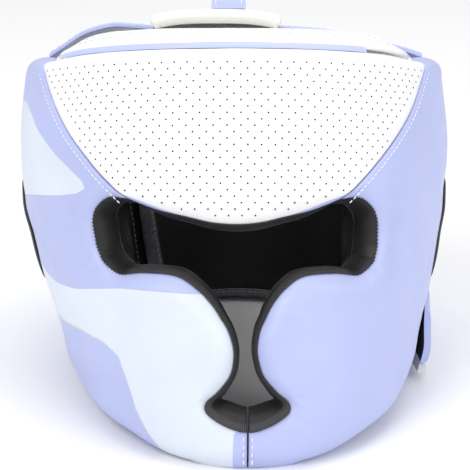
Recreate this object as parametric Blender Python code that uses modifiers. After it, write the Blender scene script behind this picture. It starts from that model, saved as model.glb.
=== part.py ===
"""Full-face boxing headgear, standing on its lower rim as it does on a table.

The shapes are worked out with the head upright: X to the wearer's left, Y backwards, Z up from eye
level. An empty then tips them by REST_TILT_DEG, so that the chin and the back pad meet the floor.
A place on the leather is an angle round from the front and a level. A level is a share: 1 is the
top rim and -1 is the chin's lower edge.
"""

from math import cos, pi, radians, sin, tan

import bmesh
import bpy
import numpy as np
from mathutils import Matrix, Vector

# Driving sizes, in metres, and angles in degrees
HALF_WIDTH = 0.120
FRONT_REACH = 0.110
REAR_REACH = 0.130
CENTRE_Y = -0.010
TOP_LEVEL = 0.097
CHIN_DROP = 0.118
REST_TILT_DEG = 20.3
LEAN = 0.007
WALL = 0.026
BACK_WALL = 0.014
REAR_FOLD = 0.0015
SKIN = 0.0011
LINING = 0.0013
GAP = 0.0003
SEAM_GAP = 0.0008
SEAM_DIP = 0.0012
DENT = 0.0035
TAPE_WIDTH = 0.008
OPENING_ROUND = 0.013
CRUSH = 0.0022
BACK_LIFT = 0.0021
LEFT_WING_DEG = 142
RIGHT_WING_DEG = 136
BACK_PAD_START_DEG = 138
BACK_PAD_END_DEG = 211
EAR_Y = -0.004
EAR_Z = 0.004
EAR_HALF_LENGTH = 0.016
EAR_HALF_HEIGHT = 0.024
EAR_LIP = 0.005
EAR_SIDES = 20
EAR_TRIM = 0.002
STRAP = 0.003
FLAP = 0.004
CROWN_WALL = 0.012
REAR_FLAP_WALL = 0.008
REAR_FLAP_HALF_WIDTH = 0.037
REAR_FLAP_X = -0.010
CROWN_HEIGHT = 0.1148
DOME_HEIGHT = 0.127
LOOP_HEIGHT = 0.1347
CROWN_STRAP_WIDTH = 0.019
CROWN_STRAP_X = -0.003
SIDE_STRAP_WIDTH = 0.022
RIM_STRIP_START = 0.0045
RIM_STRIP = 0.008
RIM_STRIP_HEIGHT = 0.0028

# Shares of HALF_WIDTH and FRONT_REACH by level, and shares of WALL by angle in degrees
WIDTHS = ((-1.0, .735), (-.85, .76), (-.65, .785), (-.55, .815), (-.46, .832), (-.36, .858), (-.265, .887),
          (-.17, .91), (-.07, .932), (.03, .95), (.144, .972), (.258, .981), (.38, .992), (.58, 1.0),
          (.8, .985), (1.05, .965))
REACHES = ((-1.0, .918), (-.8, .955), (-.5, .99), (0, 1.0), (.4, 1.0), (.7, .975), (1.05, .925))
WALLS = ((0, 1.0), (45, 1.04), (60, 1.11), (90, 1.19), (110, .96), (128, .62), (142, .46), (180, .5))
TOPS = ((0, 1.0), (45, .995), (64, .985), (78, 1.03), (95, 1.045), (115, 1.0), (130, .9), (145, .8), (180, .8))
ARCHES = ((0, 0), (30, .004), (45, .036), (60, .045), (90, .042), (120, .025), (140, 0), (180, 0))

# One row for each main spoke of a side pad, from the forehead seam round the face opening to the chin:
# the opening's angle and level, how far the rounded edge stands into the opening as a share of
# OPENING_ROUND, the spoke's heading there, the rim's angle and its height between the lower rim (0) and
# the top rim (1), the spoke's heading there, and the rim's rounding as a share of the wall
SIDE_SPOKES = (
    (28.8, .188, .23, 40, 64, 1.0, 54, .28),
    (34.9, .197, .23, 62, 79, 1.0, 76, .36),
    (39.3, .148, .23, 44, 101, 1.0, 90, .5),
    (42.0, .082, .23, 18, 121, 1.0, 78, .5),
    (42.9, .027, .23, 5, 134, .94, 45, .5),
    (43.1, -.025, .23, 0, 142, .66, 0, .5),
    (43.1, -.053, .23, -5, 142, .33, 0, .5),
    (42.4, -.093, .23, -22, 139, .05, -45, .5),
    (41.2, -.126, .23, -50, 127, .0, -86, .5),
    (36.0, -.175, .23, -80, 110, .0, -90, .5),
    (27.5, -.170, .23, -88, 93, .0, -90, .5),
    (18.2, -.182, .23, -68, 77, .0, -90, .5),
    (12.7, -.237, .21, -52, 65, .0, -90, .5),
    (9.0, -.304, .19, -38, 57, .0, -90, .5),
    (6.9, -.362, .17, -31, 51, .0, -90, .5),
    (5.1, -.415, .17, -22, 45.5, .0, -90, .5),
    (4.0, -.485, .17, -7, 40, .0, -90, .5),
    (4.2, -.545, .17, 6, 35.5, .0, -90, .5),
    (5.8, -.613, .18, 16, 31, .0, -90, .5),
    (10.1, -.681, .24, 18, 27, .0, -90, .5),
    (13.8, -.725, .36, 2, 22.5, .0, -90, .5),
    (13.6, -.768, .5, -25, 17.5, .0, -90, .5),
    (9.2, -.812, .62, -55, 11, .0, -90, .5),
    (3.9, -.842, .69, -78, 5, .0, -90, .5),
    (0, -.851, .71, -90, 0, .0, -90, .5),
)
# The same columns for one half of the forehead, from its middle to its seam
FOREHEAD_SPOKES = (
    (0, .057, .23, 90, 0, 1.0, 90, .28),
    (6.5, .067, .23, 90, 14, 1.0, 90, .28),
    (13, .096, .23, 88, 28, 1.0, 90, .28),
    (19.5, .124, .23, 80, 41, 1.0, 85, .28),
    (24.5, .157, .23, 64, 53, 1.0, 70, .28),
    (28.8, .188, .23, 40, 64, 1.0, 54, .28),
)
# The same columns for the back pad, whose spokes run from its top edge to its foot and far side
BACK_SPOKES = (
    (0, .845, 0, -90, 0, 0, -90, .5),
    (.15, .855, 0, -90, .17, 0, -90, .5),
    (.31, .865, 0, -88, .37, 0, -90, .5),
    (.46, .865, 0, -84, .59, 0, -90, .5),
    (.58, .865, 0, -76, .79, 0, -88, .5),
    (.67, .865, 0, -66, .93, .03, -60, .5),
    (.74, .865, 0, -54, 1.0, .15, -20, .5),
    (.79, .86, 0, -42, 1.01, .38, 0, .5),
    (.83, .85, 0, -30, 1.0, .66, 0, .5),
    (.87, .84, 0, -15, .985, .9, 0, .5),
)
# The dents beside the eye ends: angle, level, depth as a share of DENT, half-width in
# degrees, half-height as a share of TOP_LEVEL
DENTS = ((50, .02, 1.0, 5, .22),)

LILAC = (0.47, 0.54, 0.88)
WHITE = (0.86, 0.86, 0.87)
BLACK = (0.012, 0.012, 0.013)
GREY = (0.25, 0.25, 0.28)
PLAN_RADIUS = 0.115
TOUCH = 1e-6


def smooth(table, x):
    """A smooth curve through a table's rows (x, y), read at x."""
    xs, ys = np.array(sorted(table), float).T
    slopes = np.gradient(ys, xs)
    x = np.clip(x, xs[0], xs[-1])
    i = np.clip(np.searchsorted(xs, x) - 1, 0, len(xs) - 2)
    span = xs[i + 1] - xs[i]
    t = (x - xs[i]) / span
    start = ys[i] * (1 + 2 * t) * (1 - t) ** 2 + slopes[i] * span * t * (1 - t) ** 2
    end = ys[i + 1] * t * t * (3 - 2 * t) - slopes[i + 1] * span * t * t * (1 - t)
    return start + end


def ease(t):
    t = np.clip(t, 0, 1)
    return t * t * (3 - 2 * t)


def level(share):
    """The height of a level given as a share."""
    return np.where(np.asarray(share) > 0, share * TOP_LEVEL, share * CHIN_DROP)


def share_of(z):
    return np.where(z > 0, z / TOP_LEVEL, z / CHIN_DROP)


def dent(u, share):
    """How far the leather sinks in beside the eye ends."""
    around = np.abs(np.degrees((u + pi) % (2 * pi) - pi))
    depth = 0
    for angle, middle, deep, half_width, half_height in DENTS:
        off = ((around - angle) / half_width) ** 2 + ((share - middle) / half_height) ** 2
        depth = depth + DENT * deep * np.exp(-off)
    return depth


def outer(u, z):
    """The leather's outer surface, at the angle u and the height z."""
    share = share_of(z)
    half = HALF_WIDTH * smooth(WIDTHS, share) - dent(u, share)
    front = FRONT_REACH * smooth(REACHES, share) - dent(u, share)
    reach = np.where(np.cos(u) > 0, front, REAR_REACH)
    lean = LEAN * ease((.31 - share) / 1.1) * (.65 + .35 * np.maximum(np.cos(u), 0))
    return np.stack([half * np.sin(u) + lean, CENTRE_Y - reach * np.cos(u), z + 0 * u], -1)


def unit(v):
    return v / np.maximum(np.linalg.norm(v, axis=-1, keepdims=True), 1e-12)


def outward(u, z):
    turn, rise = 0.004, 0.0005
    around = outer(u + turn, z) - outer(u - turn, z)
    up = outer(u, z + rise) - outer(u, z - rise)
    return unit(np.cross(around, up))


def floor_under(y):
    """The height of the table's surface at y, with the head upright."""
    chin_y = CENTRE_Y - FRONT_REACH * smooth(REACHES, -1) + WALL / 2
    return -CHIN_DROP + tan(radians(REST_TILT_DEG)) * (y - chin_y)


def wall_at(u, z):
    around = np.abs(np.degrees((u + pi) % (2 * pi) - pi))
    return WALL * smooth(WALLS, around) * (1 - .15 * ease((share_of(z) - .6) / .4))


def back_wall_at(u, z):
    return BACK_WALL + 0 * u


def rim_of(u, wall, raised):
    """The height of the lower rim at the angle u, raised clear of the floor or pressed on it by CRUSH."""
    around = np.abs(np.degrees((u + pi) % (2 * pi) - pi))
    z = -0.5 * CHIN_DROP + 0 * u
    for _ in range(12):
        middle = outer(u, z) - outward(u, z) * (wall(u, z) / 2)[..., None]
        z = floor_under(middle[..., 1]) + raised + CHIN_DROP * smooth(ARCHES, around)
    return z


def top_of(u):
    around = np.abs(np.degrees((u + pi) % (2 * pi) - pi))
    return TOP_LEVEL * smooth(TOPS, around)


class Spokes:
    """Curved lines on the leather, from the opening's edge to the rim, which the pads are lofted along."""

    def __init__(self, rows, wall, doubled, raised=-CRUSH, ends=(.12, .12)):
        steps = len(rows) - 1
        middle = sorted([*range(1, steps), *(i + .5 for i in doubled)])
        places = np.concatenate([[0, ends[0]], middle, [steps - ends[1], steps]])
        columns = np.array(rows, float).T
        index = np.arange(len(rows))
        near, near_z, stand, near_way, far, height, far_way, rounding = (
            smooth(tuple(zip(index, column)), places) for column in columns)
        self.wall = wall
        self.height = height
        self.count = len(places)
        self.seam = np.zeros(self.count)
        near = np.radians(near)
        far = np.radians(far)
        low = rim_of(far, wall, raised)
        self.start = np.stack([near * PLAN_RADIUS, level(near_z)], -1)
        self.stop = np.stack([far * PLAN_RADIUS, low + height * (top_of(far) - low)], -1)
        length = np.linalg.norm(self.stop - self.start, axis=-1, keepdims=True)
        self.leave = np.stack([np.cos(np.radians(near_way)), np.sin(np.radians(near_way))], -1) * length
        self.arrive = np.stack([np.cos(np.radians(far_way)), np.sin(np.radians(far_way))], -1) * length
        self.measure()
        z = self.start[:, 1]
        self.stand = stand * OPENING_ROUND
        full = self.length + self.stand
        self.near_round = np.minimum(OPENING_ROUND if stand.max() > 0 else BACK_WALL / 2, full / 2)
        edge_wall = wall(far, self.stop[:, 1])
        self.far_round = np.minimum(rounding * edge_wall, full / 2)

    def on_plan(self, q):
        """(angle, height) at the fractions q of each spoke; below 0 and above 1 it runs on straight."""
        t = np.clip(q, 0, 1)[..., None]
        a, b, c, d = (v[:, None, :] for v in (self.start, self.leave, self.stop, self.arrive))
        place = a * (1 + 2 * t) * (1 - t) ** 2 + b * t * (1 - t) ** 2 * .8
        place = place + c * t * t * (3 - 2 * t) - d * t * t * (1 - t) * .8
        place = place + b * np.minimum(q, 0)[..., None] + d * np.maximum(q - 1, 0)[..., None]
        return place[..., 0] / PLAN_RADIUS, place[..., 1]

    def measure(self):
        q = np.tile(np.linspace(-1.5, 1.1, 261), (self.count, 1))
        path = outer(*self.on_plan(q))
        steps = np.linalg.norm(np.diff(path, axis=1), axis=-1)
        along = np.concatenate([np.zeros((self.count, 1)), np.cumsum(steps, 1)], 1)
        self.fractions = q[0]
        self.along = along - np.array([np.interp(0, q[0], row) for row in along])[:, None]
        self.length = np.array([np.interp(1, q[0], row) for row in self.along])

    def points(self, along, depth_share, inset):
        """Points at the distances along each spoke, a share of the wall deep, plus an inset."""
        q = np.array([np.interp(row, known, self.fractions) for row, known in zip(along, self.along)])
        u, z = self.on_plan(q)
        depth = depth_share * self.wall(u, z) + inset + self.seam[:, None] * (1 - depth_share)
        p = outer(u, z) - outward(u, z) * depth[..., None]
        low = floor_under(p[..., 1])
        p[..., 2] = np.where(p[..., 2] < low, low, p[..., 2])
        return p

    def near_arc(self, angles, out=0):
        """The rounded edge at the opening: 0 is the outer face, 90 the tip and 180 the inner face."""
        a = np.radians(angles)
        radius = self.near_round[:, None]
        along = radius - self.stand[:, None] - (radius + out) * np.sin(a)
        return along, (1 - np.cos(a)) / 2 + 0 * along, -out * np.cos(a) + 0 * along

    def far_arc(self, angles, out=0):
        a = np.radians(angles)
        radius = self.far_round[:, None]
        along = self.length[:, None] - radius + (radius + out) * np.sin(a)
        return along, (1 - np.cos(a)) / 2 + 0 * along, -out * np.cos(a) + 0 * along

    def face(self, fractions, inner, out=0):
        """A run along the outer face, or the inner one, from the opening's rounding to the rim's."""
        first = self.near_round - self.stand
        last = self.length - self.far_round
        f = np.asarray(fractions)[None, :]
        along = first[:, None] * (1 - f) + last[:, None] * f
        return along, inner + 0 * along, (out if inner else -out) + 0 * along

    def section(self, *runs):
        return self.points(*(np.concatenate(part, 1) for part in zip(*runs)))


FACE = np.linspace(0, 1, 7)[1:-1]
ARC = np.arange(0, 181, 30)


def material(name, colour, roughness):
    made = bpy.data.materials.get(name) or bpy.data.materials.new(name)
    made.use_nodes = True
    shader = made.node_tree.nodes["Principled BSDF"]
    shader.inputs["Base Color"].default_value = (*colour, 1)
    shader.inputs["Roughness"].default_value = roughness
    return made


def new_object(name, points, faces, colour, roughness=.5):
    mesh = bpy.data.meshes.new(name)
    mesh.from_pydata([tuple(p) for p in points], [], faces)
    bm = bmesh.new()
    bm.from_mesh(mesh)
    bmesh.ops.remove_doubles(bm, verts=bm.verts, dist=TOUCH)
    bmesh.ops.dissolve_degenerate(bm, edges=bm.edges, dist=TOUCH)
    bm.to_mesh(mesh)
    bm.free()
    mesh.materials.append(material(name, colour, roughness))
    mesh.shade_smooth()
    mesh.set_sharp_from_angle(angle=radians(40))
    made = bpy.data.objects.new(name, mesh)
    parts.objects.link(made)
    made.parent = stand
    return made


def grid_faces(rows, columns, closed):
    """Triangles between neighbouring rows, each square split along the same diagonal."""
    faces = []
    for i in range(rows - 1):
        for j in range(columns if closed else columns - 1):
            k = (j + 1) % columns
            a, b, c, d = i * columns + j, (i + 1) * columns + j, (i + 1) * columns + k, i * columns + k
            faces += [(a, b, c), (a, c, d)]
    return faces


def turn_out(mesh):
    bm = bmesh.new()
    bm.from_mesh(mesh)
    bmesh.ops.recalc_face_normals(bm, faces=bm.faces)
    bm.to_mesh(mesh)
    bm.free()


def loft(name, rings, colour, roughness=.5):
    """A solid through closed sections. Each ends in a ladder of faces across it, from its first point."""
    rows, columns = rings.shape[:2]
    faces = grid_faces(rows, columns, True)
    for last in (0, (rows - 1) * columns):
        for j in range(columns // 2):
            rung = [last + v for v in (j, j + 1, columns - j - 1, (columns - j) % columns)]
            faces.append(tuple(sorted(set(rung), key=rung.index)))
    made = new_object(name, rings.reshape(-1, 3), faces, colour, roughness)
    turn_out(made.data)
    return made


def sheet(name, near, off, thickness, colour, roughness=.5):
    """A skin that starts at the grid near and grows towards the grid off."""
    rows, columns = near.shape[:2]
    faces = grid_faces(rows, columns, False)
    flat = near.reshape(-1, 3)
    grown = (off - near).reshape(-1, 3)
    corners = flat[np.array(faces)]
    normals = np.cross(corners[:, 1] - corners[:, 0], corners[:, 2] - corners[:, 0])
    if (normals * grown[np.array(faces)[:, 0]]).sum() < 0:
        faces = [face[::-1] for face in faces]
    made = new_object(name, flat, faces, colour, roughness)
    shell = made.modifiers.new("thickness", "SOLIDIFY")
    shell.thickness = thickness
    shell.offset = 1
    return made


def skin(name, spokes, thickness, colour, *runs):
    """A skin over the parts of the pad that the runs name, each run taking its distance out."""
    near = spokes.section(*(run(GAP) for run in runs))
    off = spokes.section(*(run(GAP + thickness) for run in runs))
    return sheet(name, near, off, thickness, colour, .6)


def padded(name, top, down, thickness, edge, colour, roughness=.5):
    """A pad under a grid of points, rounded off over the distance edge at its four sides."""
    def runs(grid):
        steps = np.linalg.norm(np.diff(grid, axis=0), axis=-1)
        return np.concatenate([np.zeros((1, grid.shape[1])), np.cumsum(steps, 0)])
    along = runs(top)
    across = runs(top.transpose(1, 0, 2)).T
    inside = np.minimum(np.minimum(along, along[-1] - along), np.minimum(across, across[:, -1:] - across))
    full = np.sqrt(1 - (1 - np.minimum(inside / edge, 1)) ** 2)
    upper = top + down * (thickness * (1 - full) / 2)[..., None]
    lower = top + down * (thickness * (1 + full) / 2)[..., None]
    rows, columns = top.shape[:2]
    open_edge = np.ones((rows, columns), bool)
    open_edge[1:-1, 1:-1] = False
    open_edge = open_edge.ravel()
    faces = [face for face in grid_faces(rows, columns, False) if not open_edge[list(face)].all()]
    count = rows * columns
    faces += [tuple(count + v for v in reversed(face)) for face in faces]
    made = new_object(name, np.concatenate([upper.reshape(-1, 3), lower.reshape(-1, 3)]), faces, colour, roughness)
    turn_out(made.data)
    return made


def edged(first, last, edge, count):
    """Stations from 0 to 1 with extra ones inside each end, for a run of the length last - first."""
    near = edge / abs(last - first)
    middle = np.linspace(near, 1 - near, count)
    ends = near * np.array([0, .13, .5])
    return np.concatenate([ends, middle, 1 - ends[::-1]])


def downward(grid):
    """Unit vectors into a grid of points whose columns run round to the left of its rows."""
    along = np.gradient(grid, axis=0)
    across = np.gradient(grid, axis=1)
    return -unit(np.cross(along, across))


def side_rows(side, rear_deg):
    """The side pad's rows on one side, with its rear edge at rear_deg and its seam edges drawn back."""
    rows = np.array(SIDE_SPOKES, float)
    past = np.maximum(rows[:, 4] - 100, 0) / 42
    rows[:, 4] += past * (rear_deg - 142)
    back = np.degrees(SEAM_GAP / 2 / PLAN_RADIUS)
    rows[0, [0, 4]] += 1.4 * back
    rows[-1, [0, 4]] += 1.6 * back
    return mirrored(rows) if side < 0 else rows


def mirrored(rows):
    rows = np.array(rows, float)
    rows[:, [0, 4]] *= -1
    rows[:, [3, 6]] = 180 - rows[:, [3, 6]]
    return rows


def dip_ends(spokes, first, last):
    """Sinks the outer face at the seams, where the stitching pulls the leather in."""
    if first:
        spokes.seam[0] = SEAM_DIP
    if last:
        spokes.seam[-1] = SEAM_DIP


def saw_angle(spokes):
    """The angle round the rounded edge at which the black tape starts."""
    return np.degrees(np.arcsin(np.clip(1 - spokes.stand / spokes.near_round, 0, 1)))


def pad_body(name, spokes, colour):
    tip = len(ARC) // 2
    rings = spokes.section(
        spokes.far_arc(ARC[tip::-1]), spokes.face(FACE[::-1], 0), spokes.near_arc(ARC),
        spokes.face(FACE, 1), spokes.far_arc(ARC[:tip:-1]))
    return loft(name, rings, colour)


def tape_run(spokes, out):
    """The tape's sections, from where the leather ends to the inner side of the rounded edge."""
    angles = np.maximum(saw_angle(spokes)[:, None], np.array([[0, 30, 60, 90, 112]]))
    return spokes.near_arc(angles, out)


def lining_and_tape(side, spokes):
    tape = skin("trim_" + side, spokes, SKIN, BLACK, lambda out: tape_run(spokes, out))
    lining = skin(
        "lining_" + side, spokes, LINING, BLACK,
        lambda out: spokes.near_arc(np.array([120, 150, 180]), out),
        lambda out: spokes.face(FACE, 1, out),
        lambda out: spokes.far_arc(np.array([180, 150]), out))
    return tape, lining


def forehead():
    half = np.array(FOREHEAD_SPOKES, float)
    back = np.degrees(SEAM_GAP / 2 / PLAN_RADIUS)
    half[-1, [0, 4]] -= 1.4 * back
    spokes = Spokes(np.concatenate([mirrored(half)[:0:-1], half]), wall_at, ())
    dip_ends(spokes, True, True)
    pad_body("forehead_pad", spokes, WHITE)
    tape = skin("trim_brow", spokes, SKIN, BLACK, lambda out: tape_run(spokes, out))
    lining = skin(
        "lining_forehead", spokes, LINING, BLACK,
        lambda out: spokes.near_arc(np.array([120, 150, 180]), out),
        lambda out: spokes.face(FACE, 1, out))
    return tape, lining


def ear_cutter(side):
    """An oval bar through the side, which opens the ear hole."""
    bm = bmesh.new()
    turn = Matrix.Rotation(radians(90), 4, "Y")
    bmesh.ops.create_cone(
        bm, cap_ends=True, segments=EAR_SIDES, radius1=1, radius2=1, depth=4 * WALL, matrix=turn)
    bmesh.ops.scale(bm, verts=bm.verts, vec=(1, EAR_HALF_LENGTH, EAR_HALF_HEIGHT))
    bmesh.ops.translate(bm, verts=bm.verts, vec=(side * (HALF_WIDTH - WALL), EAR_Y, EAR_Z))
    mesh = bpy.data.meshes.new("ear_cutter")
    bm.to_mesh(mesh)
    bm.free()
    cutter = bpy.data.objects.new("ear_cutter", mesh)
    cutters.objects.link(cutter)
    cutter.parent = stand
    cutter.hide_render = True
    cutter.display_type = "WIRE"
    return cutter


def cut(target, cutter):
    hole = target.modifiers.new("ear hole", "BOOLEAN")
    hole.object = cutter
    hole.operation = "DIFFERENCE"


def oval(side, grown, depth):
    """Points round the ear hole, grown outwards from it, at a depth below the leather."""
    turn = np.linspace(0, 2 * pi, EAR_SIDES, endpoint=False)
    y = EAR_Y + (EAR_HALF_LENGTH + grown) * np.cos(turn)
    z = EAR_Z + (EAR_HALF_HEIGHT + grown) * np.sin(turn)
    u = side * np.arccos(np.clip((CENTRE_Y - y) / np.where(y < CENTRE_Y, FRONT_REACH, REAR_REACH), -1, 1))
    around = outer(u, z)
    x = around[:, 0] - side * depth
    return np.stack([x, y, z], -1)


def ear_trim(name, side):
    """A turned-in ring: a sleeve through the hole with a lip on the leather."""
    deep = WALL * 1.15
    sections = [
        oval(side, -GAP, -GAP - SKIN - .0003), oval(side, EAR_LIP, -GAP - SKIN), oval(side, EAR_LIP, -GAP - .0002),
        oval(side, -GAP, -GAP - .0002), oval(side, -GAP, deep), oval(side, -GAP - EAR_TRIM, deep),
        oval(side, -GAP - EAR_TRIM, -GAP - .0003)]
    rings = np.stack(sections, 1)
    rows, columns = rings.shape[:2]
    faces = grid_faces(rows, columns, True)
    last = (rows - 1) * columns
    for j in range(columns):
        k = (j + 1) % columns
        faces += [(last + j, j, k), (last + j, k, last + k)]
    made = new_object(name, rings.reshape(-1, 3), faces, BLACK, .6)
    turn_out(made.data)


def side_pad(name, side, rear_deg):
    spokes = Spokes(side_rows(side, rear_deg), wall_at, range(2, 8), ends=(.12, .42))
    dip_ends(spokes, True, True)
    body = pad_body("side_pad_" + name, spokes, LILAC)
    tape, lining = lining_and_tape(name, spokes)
    cutter = ear_cutter(side)
    cut(body, cutter)
    cut(lining, cutter)
    ear_trim("ear_trim_" + name, side)
    upright = np.flatnonzero((spokes.height > .08) & (spokes.height < .93))
    edge_tape("wing_binding_" + name, spokes, upright[0], upright[-1] + 1)


def edge_tape(name, spokes, first, last):
    """A tape folded over the rim's rounding, on the spokes from first to last."""
    part = spokes_between(spokes, first, last)
    angles = np.array([0, 30, 60, 90, 120, 150])
    return skin(name, part, SKIN, GREY, lambda out: part.far_arc(angles, out))


def spokes_between(spokes, first, last):
    part = object.__new__(Spokes)
    part.wall = spokes.wall
    part.count = last - first
    part.fractions = spokes.fractions
    for key in ("start", "stop", "leave", "arrive", "along", "length", "stand", "near_round", "far_round", "seam"):
        setattr(part, key, getattr(spokes, key)[first:last])
    return part


def back_pad():
    rows = np.array(BACK_SPOKES, float)
    span = BACK_PAD_END_DEG - BACK_PAD_START_DEG
    rows[:, [0, 4]] = BACK_PAD_START_DEG + span * rows[:, [0, 4]]
    spokes = Spokes(rows, back_wall_at, range(4, 8), raised=BACK_LIFT)
    pad_body("back_pad", spokes, BLACK)
    edge_tape("back_binding", spokes, 1, spokes.count - 1)


def crown_front_pad():
    reach = HALF_WIDTH * .8
    x = reach * (2 * edged(-reach, reach, .006, 11) - 1)
    b = np.concatenate([[0, .02, .06], np.linspace(.14, .9, 5), [.96, 1]])
    off = np.abs(x) / reach
    ridge = CROWN_HEIGHT * smooth(((0, 1), (.52, .993), (.69, .981), (.79, .967), (.855, .945), (.93, .905), (1, .875)), off)
    front_z = TOP_LEVEL * (1.04 - .02 * off ** 2)
    behind = RIM_STRIP_START + RIM_STRIP + 2 * GAP
    front_y = CENTRE_Y - (FRONT_REACH * .925 - behind) * np.sqrt(1 - (x / (HALF_WIDTH * .965 - behind)) ** 2)
    rear_y = CENTRE_Y - .022 * off ** 2
    rise = 1 - (1 - b) ** 2.2
    y = front_y[:, None] * (1 - b) + rear_y[:, None] * b
    z = front_z[:, None] + np.maximum(ridge - front_z, .0005)[:, None] * rise
    top = np.stack([np.broadcast_to(x[:, None], y.shape), y, z], -1)
    thickness = .0032 + (CROWN_WALL - .0032) * ease(b / .5)[None, :] * (1 - .5 * ease((off - .75) / .25))[:, None]
    padded("crown_front_pad", top, downward(top), thickness, .004, WHITE)


def rim_binding():
    u = np.radians(np.linspace(-54, 38, 24))
    deep = RIM_STRIP_START + RIM_STRIP * np.linspace(0, 1, 3)
    z = top_of(u)
    half_wall = wall_at(u, z)[:, None] / 2
    rounding = 2 * FOREHEAD_SPOKES[0][-1] * half_wall
    fall = rounding * (1 - np.sqrt(1 - np.minimum(np.abs(1 - deep / half_wall), 1) ** 2))
    base = outer(u, z)[:, None] - outward(u, z)[:, None] * deep[None, :, None]
    base[..., 2] += GAP - fall
    up = base + np.array([0, 0, RIM_STRIP_HEIGHT])
    sheet("rim_binding", base, up, RIM_STRIP_HEIGHT, LILAC)


def along_path(path, x, wide):
    """A band of the width wide across X, along a path of rows (y, z)."""
    path = np.array(path, float)
    return np.stack([
        np.broadcast_to(x - wide[None, :], (len(path), len(wide))),
        np.repeat(path[:, :1], len(wide), 1), np.repeat(path[:, 1:], len(wide), 1)], -1)


def arc_rows(rows, count):
    """A smooth path of count points through rows, evenly spaced by row."""
    rows = np.array(rows, float)
    at = np.linspace(0, len(rows) - 1, count)
    index = range(len(rows))
    return np.stack([smooth(tuple(zip(index, column)), at) for column in rows.T], -1)


def crown_rear_flap():
    lift = DOME_HEIGHT / .127
    path = arc_rows(((-.040, .1242 * lift), (-.015, .1266 * lift), (.010, .127 * lift), (.037, .1235 * lift),
                     (.062, .1135 * lift), (.083, .100 * lift), (.098, .0855 * lift)), 12)
    wide = REAR_FLAP_HALF_WIDTH * (2 * edged(-REAR_FLAP_HALF_WIDTH, REAR_FLAP_HALF_WIDTH, .004, 4) - 1)
    top = along_path(path, REAR_FLAP_X, wide)
    top[..., 2] -= .004 * (np.abs(wide) / REAR_FLAP_HALF_WIDTH)[None, :] ** 3
    padded("crown_rear_flap", top, downward(top), REAR_FLAP_WALL, .004, WHITE)


def crown_strap():
    lift = LOOP_HEIGHT - .1347
    path = arc_rows(((-.036, .1248), (-.026, .1266), (-.013, .1318 + lift), (.000, .1345 + lift), (.012, .1345 + lift),
                     (.026, .1318 + lift), (.042, .1246), (.055, .1178), (.066, .1122)), 17)
    wide = CROWN_STRAP_WIDTH / 2 * np.linspace(-1, 1, 3)
    near = along_path(path, CROWN_STRAP_X, wide)
    sheet("crown_strap", near, near - downward(near), STRAP, LILAC)


def side_strap(name, side, rows):
    """A strap from the side pad's top rim to the crown, as rows (x, z), SIDE_STRAP_WIDTH along Y."""
    path = arc_rows(rows, 14)
    y = .014 + SIDE_STRAP_WIDTH * np.linspace(-.5, .5, 3)
    near = np.stack([
        np.repeat(side * path[:, :1], 3, 1), np.broadcast_to(y, (len(path), 3)), np.repeat(path[:, 1:], 3, 1)], -1)
    sheet(name, near, near + np.array([0, 0, 1.0]), STRAP, LILAC)


def closure_strap():
    """The wide flap from the left wing round the back, whose end shows beside the right cheek."""
    foot = ((92, -.60), (110, -.50), (130, -.36), (150, -.26), (180, -.19), (210, -.165), (235, -.165))
    head = ((92, -.33), (110, -.12), (130, .09), (150, .27), (180, .41), (210, .47), (235, .47))
    degrees = np.concatenate([[92, 93, 96], np.linspace(102, 229, 17), [233, 235]])
    u = np.radians(degrees)
    narrow = .5 * (1 - np.sqrt(1 - (1 - np.minimum((degrees - 91) / 6, 1)) ** 2)) * .5
    low = level(smooth(foot, degrees))
    high = level(smooth(head, degrees))
    high = high - (high - low) * narrow
    away = .004 * ease((112 - degrees) / 20)

    def band(bottom, top, rows):
        f = np.linspace(0, 1, rows)
        z = bottom[:, None] * (1 - f) + top[:, None] * f
        uu = np.repeat(u[:, None], rows, 1)
        lift = SKIN + 3 * GAP + away[:, None] * (1 - ease((z - level(-.55)) / .03))
        return outer(uu, z) + outward(uu, z) * lift[..., None], outward(uu, z)

    near, out = band(low, high, 3)
    sheet("closure_strap", near, near + out, FLAP, LILAC)
    near, out = band(low - TAPE_WIDTH * .8, low - .0005, 2)
    sheet("closure_binding", near, near + out, FLAP, WHITE)


def settle():
    """Stands the headgear on its rim, with the middle of its box over the origin."""
    stand.rotation_euler = (-radians(REST_TILT_DEG), 0, 0)
    bpy.context.view_layer.update()
    graph = bpy.context.evaluated_depsgraph_get()
    corners = []
    for made in parts.objects:
        ready = made.evaluated_get(graph)
        mesh = ready.to_mesh()
        corners += [ready.matrix_world @ vertex.co for vertex in mesh.vertices]
        ready.to_mesh_clear()
    corners = np.array([tuple(p) for p in corners])
    low, high = corners.min(0), corners.max(0)
    stand.location = Vector((-(low[0] + high[0]) / 2, -(low[1] + high[1]) / 2, -low[2]))


for old in list(bpy.data.objects):
    bpy.data.objects.remove(old, do_unlink=True)
parts = bpy.data.collections.new("boxing_headgear")
cutters = bpy.data.collections.new("cutters")
bpy.context.scene.collection.children.link(parts)
bpy.context.scene.collection.children.link(cutters)
stand = bpy.data.objects.new("head_upright", None)
bpy.context.scene.collection.objects.link(stand)

forehead()
side_pad("left", -1, LEFT_WING_DEG)
side_pad("right", 1, RIGHT_WING_DEG)
back_pad()
crown_front_pad()
rim_binding()
crown_rear_flap()
crown_strap()
side_strap("side_strap_left", -1, ((.106, .1020), (.097, .108), (.085, .1155), (.070, .1195), (.058, .1190), (.0464, .1178)))
side_strap("side_strap_right", 1, ((.108, .1020), (.099, .105), (.086, .1085), (.071, .1120), (.052, .1160), (.0262, .1178)))
closure_strap()
settle()
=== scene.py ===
"""The looks of the boxing headgear: padded leather, seams, stitches, perforations and black edge tape.

The shapes are worked out with the head upright, as in the part's source, and then tipped on to the rim.
"""

from math import cos, pi, radians, sin, tan

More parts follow.
